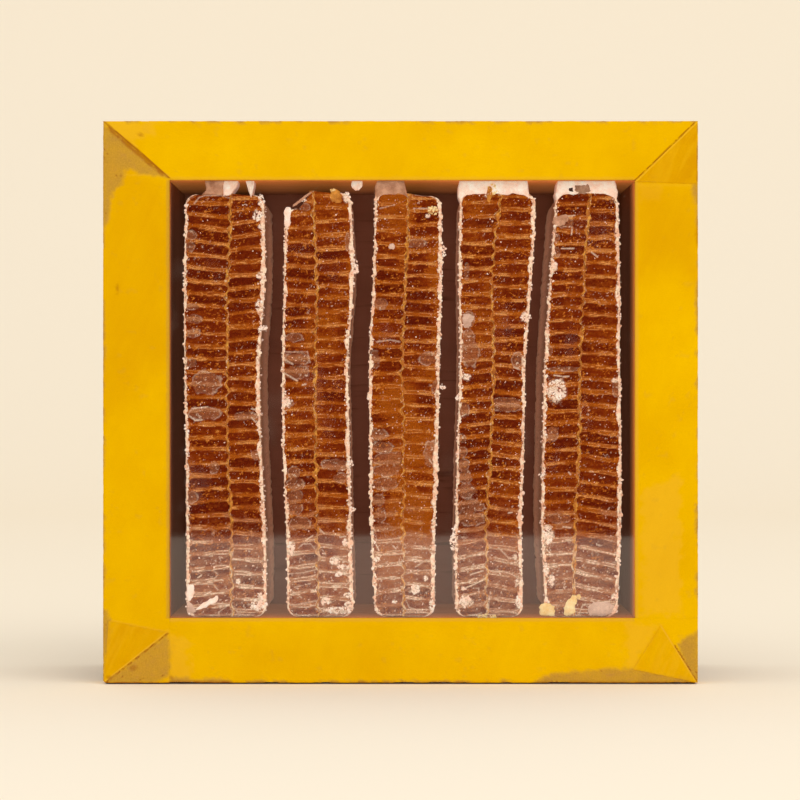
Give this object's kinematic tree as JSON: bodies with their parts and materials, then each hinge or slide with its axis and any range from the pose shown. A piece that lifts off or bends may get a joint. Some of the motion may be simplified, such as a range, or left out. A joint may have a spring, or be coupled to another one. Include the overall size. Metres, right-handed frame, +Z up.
{
  "type": "glazed honeycomb case",
  "caption": "Shallow wooden case with a glass front taped on by folded yellow paper, holding upright slabs of capped honeycomb seen edge-on.",
  "frame": {"origin": "centre of the underside, midway between the case's sides and between its front and back", "axes": "+X to the right as seen from the front, +Y from the glass front to the back, +Z up"},
  "size_m": [0.223, 0.084, 0.211],
  "materials": {
    "case_wood": "dark stained, matt",
    "pane_glass": "clear, glossy",
    "yellow_paper": "matt, brushed with glue, rubbed at the corners",
    "honey_cells": "wet, translucent",
    "midrib_wax": "waxy",
    "capping_wax": "dry, crumbly"
  },
  "bodies": {
    "root": {"board_bottom": "case_wood", "board_top": "case_wood", "board_left": "case_wood", "board_right": "case_wood", "back_panel": "case_wood", "glass": "pane_glass", "tape_top": "yellow_paper", "tape_left": "yellow_paper", "tape_right": "yellow_paper", "tape_bottom": "yellow_paper", "flap_top_right": "yellow_paper", "flap_bottom_left": "yellow_paper", "flap_bottom_right": "yellow_paper", "comb_1_midrib": "midrib_wax", "comb_1_cells_left": "honey_cells", "comb_1_cap_left": "capping_wax", "comb_1_cells_right": "honey_cells", "comb_1_cap_right": "capping_wax", "comb_2_midrib": "midrib_wax", "comb_2_cells_left": "honey_cells", "comb_2_cap_left": "capping_wax", "comb_2_cells_right": "honey_cells", "comb_2_cap_right": "capping_wax", "comb_3_midrib": "midrib_wax", "comb_3_cells_left": "honey_cells", "comb_3_cap_left": "capping_wax", "comb_3_cells_right": "honey_cells", "comb_3_cap_right": "capping_wax", "comb_4_midrib": "midrib_wax", "comb_4_cells_left": "honey_cells", "comb_4_cap_left": "capping_wax", "comb_4_cells_right": "honey_cells", "comb_4_cap_right": "capping_wax", "comb_5_midrib": "midrib_wax", "comb_5_cells_left": "honey_cells", "comb_5_cap_left": "capping_wax", "comb_5_cells_right": "honey_cells", "comb_5_cap_right": "capping_wax", "burr_wax_1a": "capping_wax", "burr_wax_1b": "capping_wax", "burr_wax_1c": "capping_wax", "burr_wax_3": "capping_wax", "burr_wax_4": "capping_wax", "burr_wax_5": "capping_wax", "wax_drop": "capping_wax"}
  },
  "joints": []
}
